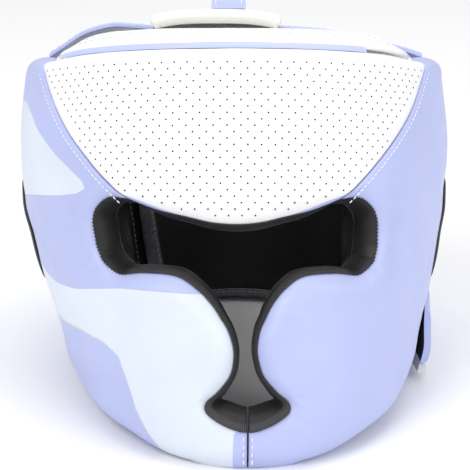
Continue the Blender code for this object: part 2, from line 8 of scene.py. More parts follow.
import bmesh
import bpy
import numpy as np
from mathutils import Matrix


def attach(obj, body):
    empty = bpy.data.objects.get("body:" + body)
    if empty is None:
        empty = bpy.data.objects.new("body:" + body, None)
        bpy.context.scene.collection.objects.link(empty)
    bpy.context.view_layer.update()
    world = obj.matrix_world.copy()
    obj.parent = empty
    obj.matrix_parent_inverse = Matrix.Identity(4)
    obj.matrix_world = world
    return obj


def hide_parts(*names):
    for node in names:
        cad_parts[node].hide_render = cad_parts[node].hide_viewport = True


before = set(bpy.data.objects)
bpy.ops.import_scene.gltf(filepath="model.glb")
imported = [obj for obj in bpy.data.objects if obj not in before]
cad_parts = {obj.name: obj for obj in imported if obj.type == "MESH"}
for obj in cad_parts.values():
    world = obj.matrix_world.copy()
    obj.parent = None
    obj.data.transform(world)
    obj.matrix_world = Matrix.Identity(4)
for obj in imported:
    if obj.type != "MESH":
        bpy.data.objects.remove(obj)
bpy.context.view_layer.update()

# Driving sizes, in metres, and angles in degrees
HALF_WIDTH = 0.120
FRONT_REACH = 0.110
REAR_REACH = 0.130
CENTRE_Y = -0.010
TOP_LEVEL = 0.097
CHIN_DROP = 0.118
REST_TILT_DEG = 20.3
LEAN = 0.007
WALL = 0.026
BACK_WALL = 0.014
SKIN = 0.0011
LINING = 0.0013
GAP = 0.0003
SEAM_GAP = 0.0008
SEAM_DIP = 0.0012
DENT = 0.0035
TAPE_WIDTH = 0.008
OPENING_ROUND = 0.013
CRUSH = 0.0022
BACK_LIFT = 0.0021
LEFT_WING_DEG = 142
RIGHT_WING_DEG = 136
BACK_PAD_START_DEG = 138
BACK_PAD_END_DEG = 211
EAR_Y = -0.004
EAR_Z = 0.004
EAR_HALF_LENGTH = 0.016
EAR_HALF_HEIGHT = 0.024
EAR_LIP = 0.005
EAR_SIDES = 64
EAR_TRIM = 0.002
STRAP = 0.003
STRAP_Y = 0.014
STRAP_COLUMNS = 17
STRAP_ROWS = 50
FLAP = 0.004
CROWN_WALL = 0.012
CROWN_EDGE = 0.0032
REAR_FLAP_WALL = 0.008
REAR_FLAP_HALF_WIDTH = 0.037
REAR_FLAP_X = -0.010
CROWN_HEIGHT = 0.1148
CROWN_STRAP_WIDTH = 0.019
CROWN_STRAP_X = -0.003
SIDE_STRAP_WIDTH = 0.022
RIM_STRIP_START = 0.0045
RIM_STRIP = 0.008
RIM_STRIP_HEIGHT = 0.0028

# Shares of HALF_WIDTH and FRONT_REACH by level, and shares of WALL by angle in degrees
WIDTHS = ((-1.0, .735), (-.85, .76), (-.65, .785), (-.55, .815), (-.46, .832), (-.36, .858), (-.265, .887),
          (-.17, .91), (-.07, .932), (.03, .95), (.144, .972), (.258, .981), (.38, .992), (.58, 1.0),
          (.8, .985), (1.05, .965))
REACHES = ((-1.0, .918), (-.8, .955), (-.5, .99), (0, 1.0), (.4, 1.0), (.7, .975), (1.05, .925))
WALLS = ((0, 1.0), (45, 1.04), (60, 1.11), (90, 1.19), (110, .96), (128, .62), (142, .46), (180, .5))
TOPS = ((0, 1.0), (45, .995), (64, .985), (78, 1.03), (95, 1.045), (115, 1.0), (130, .9), (145, .8),
        (180, .8))
ARCHES = ((0, 0), (30, .004), (45, .036), (60, .045), (90, .042), (120, .025), (140, 0), (180, 0))

# One row for each main spoke of a side pad, from the forehead seam round the face opening to the chin:
# the opening's angle and level, how far the rounded edge stands into the opening as a share of
# OPENING_ROUND, the spoke's heading there, the rim's angle and its height between the lower rim (0) and
# the top rim (1), the spoke's heading there, and the rim's rounding as a share of the wall
SIDE_SPOKES = (
    (28.8, .188, .23, 40, 64, 1.0, 54, .28),
    (34.9, .197, .23, 62, 79, 1.0, 76, .36),
    (39.3, .148, .23, 44, 101, 1.0, 90, .5),
    (42.0, .082, .23, 18, 121, 1.0, 78, .5),
    (42.9, .027, .23, 5, 134, .94, 45, .5),
    (43.1, -.025, .23, 0, 142, .66, 0, .5),
    (43.1, -.053, .23, -5, 142, .33, 0, .5),
    (42.4, -.093, .23, -22, 139, .05, -45, .5),
    (41.2, -.126, .23, -50, 127, .0, -86, .5),
    (36.0, -.175, .23, -80, 110, .0, -90, .5),
    (27.5, -.170, .23, -88, 93, .0, -90, .5),
    (18.2, -.182, .23, -68, 77, .0, -90, .5),
    (12.7, -.237, .21, -52, 65, .0, -90, .5),
    (9.0, -.304, .19, -38, 57, .0, -90, .5),
    (6.9, -.362, .17, -31, 51, .0, -90, .5),
    (5.1, -.415, .17, -22, 45.5, .0, -90, .5),
    (4.0, -.485, .17, -7, 40, .0, -90, .5),
    (4.2, -.545, .17, 6, 35.5, .0, -90, .5),
    (5.8, -.613, .18, 16, 31, .0, -90, .5),
    (10.1, -.681, .24, 18, 27, .0, -90, .5),
    (13.8, -.725, .36, 2, 22.5, .0, -90, .5),
    (13.6, -.768, .5, -25, 17.5, .0, -90, .5),
    (9.2, -.812, .62, -55, 11, .0, -90, .5),
    (3.9, -.842, .69, -78, 5, .0, -90, .5),
    (0, -.851, .71, -90, 0, .0, -90, .5),
)
# The same columns for one half of the forehead, from its middle to its seam
FOREHEAD_SPOKES = (
    (0, .057, .23, 90, 0, 1.0, 90, .28),
    (6.5, .067, .23, 90, 14, 1.0, 90, .28),
    (13, .096, .23, 88, 28, 1.0, 90, .28),
    (19.5, .124, .23, 80, 41, 1.0, 85, .28),
    (24.5, .157, .23, 64, 53, 1.0, 70, .28),
    (28.8, .188, .23, 40, 64, 1.0, 54, .28),
)
# The same columns for the back pad, whose spokes run from its top edge to its foot and far side
BACK_SPOKES = (
    (0, .845, 0, -90, 0, 0, -90, .5),
    (.15, .855, 0, -90, .17, 0, -90, .5),
    (.31, .865, 0, -88, .37, 0, -90, .5),
    (.46, .865, 0, -84, .59, 0, -90, .5),
    (.58, .865, 0, -76, .79, 0, -88, .5),
    (.67, .865, 0, -66, .93, .03, -60, .5),
    (.74, .865, 0, -54, 1.0, .15, -20, .5),
    (.79, .86, 0, -42, 1.01, .38, 0, .5),
    (.83, .85, 0, -30, 1.0, .66, 0, .5),
    (.87, .84, 0, -15, .985, .9, 0, .5),
)
# The dents beside the eye ends: angle, level, depth as a share of DENT, half-width in
# degrees, half-height as a share of TOP_LEVEL
DENTS = ((50, .02, 1.0, 5, .22),)
PLAN_RADIUS = 0.115
# Where the upright head's origin lies once it is tipped and stands on its rim
HEAD_PLACE = (0, .00173, .07668)

# The photograph's viewpoint, with the head upright
CAMERA_DISTANCE = 0.984
LENS_MM = 131.8
SENSOR_MM = 36
SHIFT = 1 / 470

# Stitches, holes, ribs and teeth, in metres. A seam rounds off over SEAM_ROUND of a row
SEAM_ROUND = 0.28
STITCH_PITCH = 0.0030
STITCH_LENGTH = 0.0020
STITCH_WIDTH = 0.00065
WIDE_STITCH = 0.0007
SEAM_STITCH_OFF = 0.0028
CHIN_STITCH_OFF = 0.0022
STRAP_STITCH_PITCH = 0.0040
STRAP_STITCH_LENGTH = 0.0026
HOLE_PITCH = 0.0067
HOLE_ROW = 0.00325
HOLE_RADIUS = 0.00047
HOLE_MARGIN = 0.0034
HOLE_TOP_MARGIN = 0.0065
RIB_PITCH = 0.0012
RIB_HEIGHT = 0.00022
BAND_WIDTH = 0.0045
TOOTH_PITCH = 0.0019
TOOTH = 0.0008
# The row of SIDE_SPOKES from which the tape is ribbed
RIBBED_FROM = 9.0

# Linear colours
LILAC = (0.46, 0.51, 0.80)
ICE = (0.70, 0.755, 0.86)
BEIGE = (0.62, 0.64, 0.62)
WHITE = (0.86, 0.86, 0.87)
CREAM = (0.86, 0.85, 0.81)
BLACK = (0.014, 0.014, 0.015)
# Painted highlight: the lighter dark grey put on the crests of the black ribbed band
RIB_HIGHLIGHT = (0.055, 0.052, 0.056)
TAPE = (0.22, 0.22, 0.24)
THREAD = (0.80, 0.82, 0.90)
# Painted shade: the dark inside a perforation
HOLE_SHADE = (0.02, 0.02, 0.022)

# Outlines of the icy blue areas and of the lilac edge under the white panel, as angle and level
ICE_HIGH = ((-73, .753), (-66, .67), (-61.8, .593), (-55.2, .49), (-49.8, .407), (-42, .289), (-41, .247),
            (-44.8, .222), (-54.2, .216), (-70.2, .227), (-100, .25), (-114, .40), (-108, .62), (-92, .80))
ICE_LOW = ((-83.8, -.127), (-73.5, -.174), (-66.2, -.216), (-54.2, -.242), (-34.5, -.233), (-13.8, -.254),
           (10, -.26), (10, -.80), (-4.5, -.847), (-6.2, -1.2), (-30.5, -1.2), (-31.5, -.924), (-38.8, -.758),
           (-40.5, -.657), (-42, -.534), (-47.2, -.475), (-59, -.424), (-76.2, -.381), (-95, -.36),
           (-106, -.25), (-98, -.15))
BEIGE_LINE = ((-95, -.36), (-76.2, -.381), (-59, -.424), (-47.2, -.475), (-42, -.534), (-40.5, -.657),
              (-38.8, -.758), (-31.5, -.924), (-30.5, -1.2))
BROW_EDGE = ((12, .085), (19.5, .138), (24.5, .178), (29.5, .212), (29.5, .15), (24.5, .12), (19.5, .09))
# Creases in the leather: the first end's angle and level, the last end's, the depth and width in mm
CREASES = ((46, -.10, 55, -.16, .9, 1.6), (45, -.13, 51, -.22, .8, 1.5), (42, -.15, 45, -.26, .6, 1.4),
           (47, -.06, 57, -.08, .7, 1.7), (38, -.17, 39, -.25, .5, 1.3), (46, .06, 54, .12, .6, 1.6),
           (44, .12, 50, .22, .5, 1.6), (-46, -.10, -53, -.15, .7, 1.6), (-45, .08, -53, .15, .6, 1.7),
           (-44, -.14, -48, -.22, .6, 1.4), (-40, .17, -45, .25, .5, 1.4), (12, -.30, 20, -.34, .4, 1.6),
           (-12, -.30, -19, -.33, .4, 1.5), (16, -.70, 24, -.72, .5, 1.6), (-17, -.70, -25, -.73, .5, 1.6),
           (15, -.79, 22, -.84, .5, 1.5), (-15, -.79, -23, -.84, .5, 1.5), (0, -.88, 0, -1.1, .4, 1.2))


def smooth(table, x):
    """A smooth curve through a table's rows (x, y), read at x."""
    xs, ys = np.array(sorted(table), float).T
    slopes = np.gradient(ys, xs)
    x = np.clip(x, xs[0], xs[-1])
    i = np.clip(np.searchsorted(xs, x) - 1, 0, len(xs) - 2)
    span = xs[i + 1] - xs[i]
    t = (x - xs[i]) / span
    start = ys[i] * (1 + 2 * t) * (1 - t) ** 2 + slopes[i] * span * t * (1 - t) ** 2
    end = ys[i + 1] * t * t * (3 - 2 * t) - slopes[i + 1] * span * t * t * (1 - t)
    return start + end


def ease(t):
    t = np.clip(t, 0, 1)
    return t * t * (3 - 2 * t)


def level(share):
    """The height of a level given as a share."""
    return np.where(np.asarray(share) > 0, share * TOP_LEVEL, share * CHIN_DROP)


def share_of(z):
    return np.where(z > 0, z / TOP_LEVEL, z / CHIN_DROP)


def dent(u, share):
    """How far the leather sinks in beside the eye ends."""
    around = np.abs(np.degrees((u + pi) % (2 * pi) - pi))
    depth = 0
    for angle, middle, deep, half_width, half_height in DENTS:
        off = ((around - angle) / half_width) ** 2 + ((share - middle) / half_height) ** 2
        depth = depth + DENT * deep * np.exp(-off)
    return depth


def outer(u, z):
    """The leather's outer surface, at the angle u and the height z."""
    share = share_of(z)
    half = HALF_WIDTH * smooth(WIDTHS, share) - dent(u, share)
    front = FRONT_REACH * smooth(REACHES, share) - dent(u, share)
    reach = np.where(np.cos(u) > 0, front, REAR_REACH)
    lean = LEAN * ease((.31 - share) / 1.1) * (.65 + .35 * np.maximum(np.cos(u), 0))
    return np.stack([half * np.sin(u) + lean, CENTRE_Y - reach * np.cos(u), z + 0 * u], -1)


def unit(v):
    return v / np.maximum(np.linalg.norm(v, axis=-1, keepdims=True), 1e-12)


def outward(u, z):
    turn, rise = 0.004, 0.0005
    around = outer(u + turn, z) - outer(u - turn, z)
    up = outer(u, z + rise) - outer(u, z - rise)
    return unit(np.cross(around, up))


def floor_under(y):
    """The height of the table's surface at y, with the head upright."""
    chin_y = CENTRE_Y - FRONT_REACH * smooth(REACHES, -1) + WALL / 2
    return -CHIN_DROP + tan(radians(REST_TILT_DEG)) * (y - chin_y)


def wall_at(u, z):
    around = np.abs(np.degrees((u + pi) % (2 * pi) - pi))
    return WALL * smooth(WALLS, around) * (1 - .15 * ease((share_of(z) - .6) / .4))


def back_wall_at(u, z):
    return BACK_WALL + 0 * u


def rim_of(u, wall, raised):
    """The height of the lower rim at the angle u, raised clear of the floor or pressed on it by CRUSH."""
    around = np.abs(np.degrees((u + pi) % (2 * pi) - pi))
    z = -0.5 * CHIN_DROP + 0 * u
    for _ in range(12):
        middle = outer(u, z) - outward(u, z) * (wall(u, z) / 2)[..., None]
        z = floor_under(middle[..., 1]) + raised + CHIN_DROP * smooth(ARCHES, around)
    return z


def top_of(u):
    around = np.abs(np.degrees((u + pi) % (2 * pi) - pi))
    return TOP_LEVEL * smooth(TOPS, around)


def crease_depth(u, z):
    """How far the creases sink in, from the distance to each one's line."""
    at = np.stack([u * PLAN_RADIUS, z + 0 * u], -1)
    depth = 0
    for u0, z0, u1, z1, deep, width in CREASES:
        a = np.array([radians(u0) * PLAN_RADIUS, level(z0)])
        b = np.array([radians(u1) * PLAN_RADIUS, level(z1)])
        t = np.clip(((at - a) * (b - a)).sum(-1) / ((b - a) ** 2).sum(), 0, 1)
        off = np.linalg.norm(at - a - t[..., None] * (b - a), axis=-1) / (width / 1000)
        depth = depth + deep / 1000 * (1 - .8 * t) * np.exp(-off ** 2)
    return depth


def relief(u, z):
    """The soft unevenness of leather over foam, and its creases."""
    x = u * PLAN_RADIUS
    broad = np.sin(x * 71 + 2 * np.sin(z * 53 + 1)) * np.sin(z * 83 + 2 * np.sin(x * 47 + .6))
    fine = np.sin(x * 190 + 3 * np.sin(z * 140)) * np.sin(z * 210 + 2 * np.sin(x * 160))
    return .00035 * broad + .00009 * fine - crease_depth(u, z)


# What a Spokes holds for each spoke
SPOKE_ROWS = ("start", "stop", "leave", "arrive", "along", "length", "stand", "near_round", "far_round",
              "seam")


class Spokes:
    """Curved lines on the leather, from the opening's edge to the rim, which the pads are lofted along."""

    def __init__(self, rows, wall, places, raised=-CRUSH):
        columns = np.array(rows, float).T
        index = np.arange(len(rows))
        near, near_z, stand, near_way, far, height, far_way, rounding = (
            smooth(tuple(zip(index, column)), places) for column in columns)
        self.wall = wall
        self.height = height
        self.places = places
        self.count = len(places)
        self.seam = np.zeros(self.count)
        near = np.radians(near)
        far = np.radians(far)
        low = rim_of(far, wall, raised)
        self.start = np.stack([near * PLAN_RADIUS, level(near_z)], -1)
        self.stop = np.stack([far * PLAN_RADIUS, low + height * (top_of(far) - low)], -1)
        length = np.linalg.norm(self.stop - self.start, axis=-1, keepdims=True)
        self.leave = np.stack([np.cos(np.radians(near_way)), np.sin(np.radians(near_way))], -1) * length
        self.arrive = np.stack([np.cos(np.radians(far_way)), np.sin(np.radians(far_way))], -1) * length
        self.measure()
        self.stand = stand * OPENING_ROUND
        full = self.length + self.stand
        self.near_round = np.minimum(OPENING_ROUND if stand.max() > 0 else BACK_WALL / 2, full / 2)
        self.far_round = np.minimum(rounding * wall(far, self.stop[:, 1]), full / 2)

    def on_plan(self, q):
        """(angle, height) at the fractions q of each spoke; below 0 and above 1 it runs on straight."""
        t = np.clip(q, 0, 1)[..., None]
        a, b, c, d = (v[:, None, :] for v in (self.start, self.leave, self.stop, self.arrive))
        place = a * (1 + 2 * t) * (1 - t) ** 2 + b * t * (1 - t) ** 2 * .8
        place = place + c * t * t * (3 - 2 * t) - d * t * t * (1 - t) * .8
        place = place + b * np.minimum(q, 0)[..., None] + d * np.maximum(q - 1, 0)[..., None]
        return place[..., 0] / PLAN_RADIUS, place[..., 1]

    def measure(self):
        q = np.tile(np.linspace(-1.5, 1.1, 261), (self.count, 1))
        path = outer(*self.on_plan(q))
        steps = np.linalg.norm(np.diff(path, axis=1), axis=-1)
        along = np.concatenate([np.zeros((self.count, 1)), np.cumsum(steps, 1)], 1)
        self.fractions = q[0]
        self.along = along - np.array([np.interp(0, q[0], row) for row in along])[:, None]
        self.length = np.array([np.interp(1, q[0], row) for row in self.along])

    def points(self, along, depth_share, inset):
        """Points at the distances along each spoke, a share of the wall deep, plus an inset."""
        q = np.array([np.interp(row, known, self.fractions) for row, known in zip(along, self.along)])
        u, z = self.on_plan(q)
        shallow = 1 - depth_share
        depth = depth_share * self.wall(u, z) + inset + (self.seam[:, None] - relief(u, z)) * shallow
        p = outer(u, z) - outward(u, z) * depth[..., None]
        low = floor_under(p[..., 1])
        p[..., 2] = np.where(p[..., 2] < low, low, p[..., 2])
        return p

    def near_arc(self, angles, out=0):
        """The rounded edge at the opening: 0 is the outer face, 90 the tip and 180 the inner face."""
        a = np.radians(angles)
        radius = self.near_round[:, None]
        along = radius - self.stand[:, None] - (radius + out) * np.sin(a)
        return along, (1 - np.cos(a)) / 2 + 0 * along, -out * np.cos(a) + 0 * along

    def far_arc(self, angles, out=0):
        a = np.radians(angles)
        radius = self.far_round[:, None]
        along = self.length[:, None] - radius + (radius + out) * np.sin(a)
        return along, (1 - np.cos(a)) / 2 + 0 * along, -out * np.cos(a) + 0 * along

    def face(self, fractions, inner, out=0):
        """A run along the outer face, or the inner one, from the opening's rounding to the rim's."""
        first = self.near_round - self.stand
        last = self.length - self.far_round
        f = np.asarray(fractions)[None, :]
        along = first[:, None] * (1 - f) + last[:, None] * f
        return along, inner + 0 * along, (out if inner else -out) + 0 * along

    def section(self, *runs):
        return self.points(*(np.concatenate(part, 1) for part in zip(*runs)))

    def saw_angle(self):
        """The angle round the rounded edge at which the leather ends and the black tape starts."""
        return np.degrees(np.arcsin(np.clip(1 - self.stand / self.near_round, 0, 1)))

    def run(self):
        """Distances along the opening's edge, from the first spoke."""
        edge = self.section(self.near_arc(self.saw_angle()[:, None]))[:, 0]
        return np.concatenate([[0], np.cumsum(np.linalg.norm(np.diff(edge, axis=0), axis=-1))])


def stations(steps, each, seamed=True):
    """Places along the table's rows, a number of them to each row, and closer ones beside a seam."""
    turn = [.015, .05, .1, .17]
    inner = np.arange(1, steps * each) / each
    before = turn if seamed else []
    after = [steps - t for t in turn[::-1]] if seamed else []
    return np.concatenate([[0], before, inner, after, [steps]])


def round_seams(spokes):
    """Sinks the outer face towards the seams, where the stitching pulls the leather in."""
    off = np.minimum(spokes.places, spokes.places[-1] - spokes.places)
    spokes.seam = SEAM_DIP * (1 - np.sqrt(1 - (1 - np.minimum(off / SEAM_ROUND, 1)) ** 2))


def about_x(a):
    """A turn by a about X."""
    return np.array([[1, 0, 0], [0, cos(a), -sin(a)], [0, sin(a), cos(a)]])


def tipped(points):
    """Points of the upright head, as the headgear stands on its rim."""
    return points @ about_x(-radians(REST_TILT_DEG)).T + HEAD_PLACE


def where_on(p):
    """The angle and height of points near the outer surface."""
    z = p[:, 2]
    share = share_of(z)
    half = HALF_WIDTH * smooth(WIDTHS, share)
    front = FRONT_REACH * smooth(REACHES, share)
    u = np.zeros(len(p))
    for _ in range(3):
        lean = LEAN * ease((.31 - share) / 1.1) * (.65 + .35 * np.maximum(np.cos(u), 0))
        back = CENTRE_Y - p[:, 1]
        u = np.arctan2((p[:, 0] - lean) / half, back / np.where(back > 0, front, REAR_REACH))
    return u, z


def to_line(at, line):
    """The distance of plan points to a broken line."""
    best = np.full(len(at), 1.0)
    for a, b in zip(line[:-1], line[1:]):
        t = np.clip(((at - a) * (b - a)).sum(-1) / max(((b - a) ** 2).sum(), 1e-12), 0, 1)
        best = np.minimum(best, np.linalg.norm(at - a - t[:, None] * (b - a), axis=-1))
    return best


def on_plan(rows):
    """A table of (angle, level) as plan points in metres."""
    rows = np.array(rows, float)
    return np.stack([np.radians(rows[:, 0]) * PLAN_RADIUS, level(rows[:, 1])], -1)


def inside(at, outline):
    """The distance of plan points to an outline, above 0 inside it."""
    ring = np.concatenate([outline, outline[:1]])
    within = np.zeros(len(at), bool)
    for a, b in zip(ring[:-1], ring[1:]):
        crosses = (a[1] > at[:, 1]) != (b[1] > at[:, 1])
        x = a[0] + (at[:, 1] - a[1]) * (b[0] - a[0]) / (b[1] - a[1] if b[1] != a[1] else 1)
        within ^= crosses & (at[:, 0] < x)
    off = to_line(at, ring)
    return np.where(within, off, -off)


class Paint:
    """A procedural material, built up from nodes."""

    def __init__(self, name, roughness, specular=.45):
        self.material = bpy.data.materials.new(name)
        self.material.use_nodes = True
        self.tree = self.material.node_tree
        self.shader = self.tree.nodes["Principled BSDF"]
        self.shader.inputs["Roughness"].default_value = roughness
        self.shader.inputs["Specular IOR Level"].default_value = specular
        self.place = self.add("TexCoord").outputs["Object"]

    def add(self, kind, inputs=(), **settings):
        made = self.tree.nodes.new("ShaderNode" + kind)
        for key, value in settings.items():
            setattr(made, key, value)
        for key, value in dict(inputs).items():
            if isinstance(value, bpy.types.NodeSocket):
                self.tree.links.new(value, made.inputs[key])
            else:
                made.inputs[key].default_value = value
        return made

    def noise(self, scale, detail=3.0, distortion=0.0):
        return self.add("TexNoise", {
            "Vector": self.place, "Scale": scale, "Detail": detail, "Distortion": distortion}).outputs["Fac"]

    def spread(self, value, low, high, first=0.0, last=1.0):
        """value, from low to high, turned into first to last."""
        inputs = {"Value": value, "From Min": low, "From Max": high, "To Min": first, "To Max": last}
        return self.add("MapRange", inputs).outputs["Result"]

    def mix(self, share, first, last):
        made = self.add("Mix", data_type="RGBA")
        for socket, value in ((made.inputs[0], share), (made.inputs[6], first), (made.inputs[7], last)):
            if isinstance(value, bpy.types.NodeSocket):
                self.tree.links.new(value, socket)
            else:
                socket.default_value = value if isinstance(value, float) else (*value, 1)
        return made.outputs[2]

    def attribute(self, name):
        return self.add("Attribute", attribute_name=name).outputs["Fac"]

    def finish(self, colour, bumps, roughness=None):
        """Sets the colour and roughness and stacks bumps given as (height, strength, distance)."""
        self.tree.links.new(colour, self.shader.inputs["Base Color"])
        if roughness is not None:
            self.tree.links.new(roughness, self.shader.inputs["Roughness"])
        normal = None
        for height, strength, distance in bumps:
            inputs = {"Height": height, "Strength": strength, "Distance": distance}
            if normal is not None:
                inputs["Normal"] = normal
            normal = self.add("Bump", inputs).outputs["Normal"]
        self.tree.links.new(normal, self.shader.inputs["Normal"])
        return self.material


def scaled(colour, by):
    return tuple(min(c * by, 1) for c in colour)


def leather(name, colour, zones=(), roughness=.42, grain=.35, wrinkle=.25):
    """Fine-grained leather. Each zone is (attribute, colour): it shows where the attribute is above 0."""
    paint = Paint(name, roughness)
    cloud = paint.spread(paint.noise(16, 3), .35, .65)
    shade = paint.mix(cloud, scaled(colour, .965), scaled(colour, 1.03))
    for attribute, other in zones:
        share = paint.spread(paint.attribute(attribute), -.12, .12)
        cloud = paint.spread(paint.noise(21, 3), .35, .65)
        tone = paint.mix(cloud, scaled(other, .965), scaled(other, 1.03))
        shade = paint.mix(share, shade, tone)
    cells = paint.add("TexVoronoi", {"Vector": paint.place, "Scale": 1250, "Randomness": 1.0})
    pebbles = paint.spread(cells.outputs["Distance"], 0, .7)
    creases = paint.noise(110, 4, 1.2)
    rough = paint.spread(paint.noise(60, 3), .3, .7, roughness - .07, roughness + .08)
    return paint.finish(shade, ((creases, wrinkle, .0006), (pebbles, grain, .0001)), rough)


def woven(name, colour, threads=1700):
    """Tape with fine crossed threads."""
    paint = Paint(name, .75, .25)
    shade = paint.mix(paint.spread(paint.noise(400, 2), .3, .7), scaled(colour, .8), scaled(colour, 1.2))
    weave = paint.add(
        "TexWave", {"Vector": paint.place, "Scale": threads, "Distortion": 1.0}, bands_direction="Z")
    return paint.finish(shade, ((weave.outputs["Fac"], .5, .00015), (paint.noise(900, 2), .3, .0001)))


def edging(name):
    """Smooth black leather; where the attribute rib is above 0, its ribbed band's crests are painted lighter
    as highlights.
    """
    paint = Paint(name, .5, .4)
    rib_and_highlight = paint.attribute("rib_and_highlight")
    dark = paint.mix(paint.spread(paint.noise(50, 3), .3, .7), scaled(BLACK, .8), scaled(BLACK, 1.5))
    shade = paint.mix(paint.spread(rib_and_highlight, .3, .9), dark, RIB_HIGHLIGHT)
    return paint.finish(shade, ((paint.noise(140, 4, 1.0), .25, .0005), (paint.noise(1500, 2), .3, .0001)))


def plain(name, colour, roughness):
    """Thread, and the painted shade inside a hole."""
    paint = Paint(name, roughness, .3)
    shade = paint.mix(paint.spread(paint.noise(800, 2), .3, .7), scaled(colour, .9), scaled(colour, 1.1))
    return paint.finish(shade, ((paint.noise(3000, 2), .3, .00005),))


def mesh_of(name, points, faces, paints, indices=None, attributes=()):
    """A mesh object from points of the upright head, tipped on to its rim."""
    mesh = bpy.data.meshes.new(name)
    mesh.from_pydata([tuple(p) for p in tipped(points)], [], faces)
    for paint in paints:
        mesh.materials.append(paint)
    if indices is not None:
        mesh.polygons.foreach_set("material_index", indices)
    for key, values in dict(attributes).items():
        mesh.attributes.new(key, "FLOAT", "POINT").data.foreach_set("value", np.asarray(values, np.float32))
    mesh.shade_smooth()
    made = bpy.data.objects.new(name, mesh)
    bpy.context.scene.collection.objects.link(made)
    return made


def face_out(made, angle=50):
    bm = bmesh.new()
    bm.from_mesh(made.data)
    bmesh.ops.remove_doubles(bm, verts=bm.verts, dist=1e-6)
    bmesh.ops.dissolve_degenerate(bm, edges=bm.edges, dist=1e-6)
    bmesh.ops.recalc_face_normals(bm, faces=bm.faces)
    bm.to_mesh(made.data)
    bm.free()
    made.data.set_sharp_from_angle(angle=radians(angle))
    return made


def belongs(made, node, replaced=True):
    """The piece rides on the headgear's one body and, when it replaces the node, stands for it: the node is
    hidden.
    """
    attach(made, "root")
    if replaced:
        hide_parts(node)
    return made


def grid_faces(rows, columns, closed):
    faces = []
    for i in range(rows - 1):
        for j in range(columns if closed else columns - 1):
            k = (j + 1) % columns
            faces.append((i * columns + j, (i + 1) * columns + j, (i + 1) * columns + k, i * columns + k))
    return faces


def loft(name, rings, paints, attributes=()):
    """A solid through closed sections, each end closed by a ladder of faces across it."""
    rows, columns = rings.shape[:2]
    faces = grid_faces(rows, columns, True)
    for last in (0, (rows - 1) * columns):
        for j in range(columns // 2):
            rung = [last + v for v in (j, j + 1, columns - j - 1, (columns - j) % columns)]
            faces.append(tuple(sorted(set(rung), key=rung.index)))
    return face_out(mesh_of(name, rings.reshape(-1, 3), faces, paints, attributes=attributes))


def shell(name, near, off, paints, attributes=()):
    """A closed skin between two grids. Its off side takes the first paint and its near side the last."""
    rows, columns = near.shape[:2]
    count = rows * columns
    over = grid_faces(rows, columns, False)
    under = [tuple(count + v for v in reversed(face)) for face in over]
    edge = [(0, j) for j in range(columns)] + [(i, columns - 1) for i in range(1, rows)]
    edge += [(rows - 1, j) for j in range(columns - 2, -1, -1)] + [(i, 0) for i in range(rows - 2, 0, -1)]
    loop = [i * columns + j for i, j in edge]
    side = [(a, b, count + b, count + a) for a, b in zip(loop, loop[1:] + loop[:1])]
    points = np.concatenate([off.reshape(-1, 3), near.reshape(-1, 3)])
    indices = [0] * len(over) + [len(paints) - 1] * len(under) + [0] * len(side)
    doubled = {key: np.tile(np.ravel(values), 2) for key, values in dict(attributes).items()}
    return face_out(mesh_of(name, points, over + under + side, paints, indices, doubled))


def mirrored(rows):
    rows = np.array(rows, float)
    rows[:, [0, 4]] *= -1
    rows[:, [3, 6]] = 180 - rows[:, [3, 6]]
    return rows


def side_rows(side, rear_deg):
    """The side pad's rows on one side, with its rear edge at rear_deg and its seam edges drawn back."""
    rows = np.array(SIDE_SPOKES, float)
    past = np.maximum(rows[:, 4] - 100, 0) / 42
    rows[:, 4] += past * (rear_deg - 142)
    back = np.degrees(SEAM_GAP / 2 / PLAN_RADIUS)
    rows[0, [0, 4]] += 1.4 * back
    rows[-1, [0, 4]] += 1.6 * back
    return mirrored(rows) if side < 0 else rows


def forehead_rows():
    half = np.array(FOREHEAD_SPOKES, float)
    half[-1, [0, 4]] -= 1.4 * np.degrees(SEAM_GAP / 2 / PLAN_RADIUS)
    return np.concatenate([mirrored(half)[:0:-1], half])


def rings_of(spokes, face_count, arc_count):
    """The pad's closed sections, each from the tip of the rim's rounding."""
    face = np.linspace(0, 1, face_count)[1:-1]
    quarter = np.linspace(90, 0, arc_count)
    return spokes.section(
        spokes.far_arc(quarter), spokes.face(face[::-1], 0),
        spokes.near_arc(np.linspace(0, 180, 2 * arc_count)),
        spokes.face(face, 1), spokes.far_arc(180 - quarter[::-1][:-1]))


def facing_folds(spokes, run, angles):
    """Soft folds of the black facing round the eye ends, which run across its edge."""
    share = spokes.start[:, 1] / TOP_LEVEL
    around = np.abs(spokes.start[:, 0]) / PLAN_RADIUS
    ends = ease((around - radians(30)) / radians(9)) * ease(1.2 - np.abs(share))
    waves = np.sin(run / .0031 + .9 * np.sin(run / .0085)) * .55 + np.sin(run / .0019) * .2
    window = ease((angles - 20) / 60)
    return .0004 * (ends * waves)[:, None] * window


def lining_of(name, spokes, rear, paints):
    """The black skin over the pad's inside."""
    face = np.linspace(0, 1, 42)[1:-1]
    run = spokes.run()
    angles = np.linspace(112.5, 180, 8)

    def grid(out):
        folds = facing_folds(spokes, run, angles[None, :])
        along, deep, inset = spokes.near_arc(angles, out)
        runs = [(along, deep, inset + folds), spokes.face(face, 1, out)]
        if rear:
            runs.append(spokes.far_arc(np.array([180, 165, 150]), out))
        return spokes.section(*runs)

    return shell(name, grid(GAP), grid(GAP + LINING), paints)


def even_places(rows, wall, step):
    """Places along the table's rows that lie a step apart along the opening's edge."""
    known = np.linspace(0, len(rows) - 1, 1201)
    run = Spokes(rows, wall, known).run()
    return np.interp(np.linspace(0, run[-1], int(run[-1] / step)), run, known)


